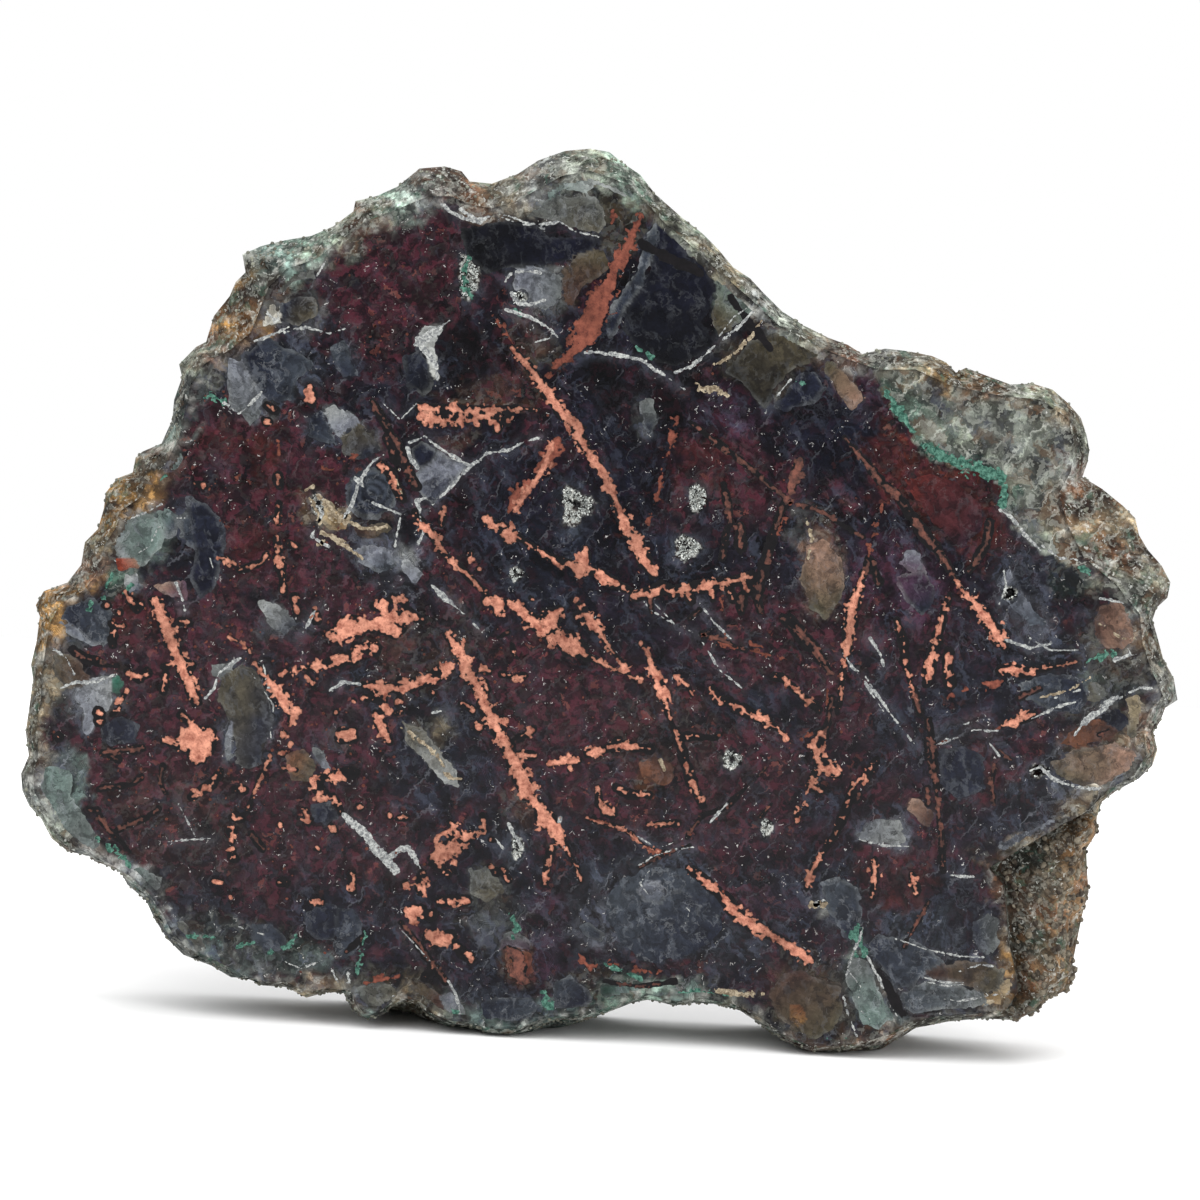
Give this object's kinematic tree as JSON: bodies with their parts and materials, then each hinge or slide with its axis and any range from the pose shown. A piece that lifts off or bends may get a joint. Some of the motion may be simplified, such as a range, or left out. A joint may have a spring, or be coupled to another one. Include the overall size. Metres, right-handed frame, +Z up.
{
  "type": "native copper slab",
  "caption": "Free-standing slab of copper agate, polished in front and sawn behind, with native copper blades, a rough natural rind and an arched lower rim.",
  "frame": {"origin": "centre of the bounding box's bottom, at the level of the two feet the slab stands on", "axes": "+X to the right along the slab's length as seen from the polished face, +Y into the stone from the polished face towards the sawn back, +Z up"},
  "size_m": [0.1444, 0.022, 0.1122],
  "materials": {
    "polished_copper_agate": "lapidary polish on dark maroon and slate-grey chalcedony, rough natural rind, sawn matt back",
    "native_copper": "native copper cut flush with the stone, softly polished, bright salmon to tarnished brown",
    "quartz_vein": "white to pale green quartz and chalcedony in thin veins and small crystal-lined pits"
  },
  "bodies": {
    "root": {"copper_agate_slab": "polished_copper_agate"}
  },
  "joints": []
}
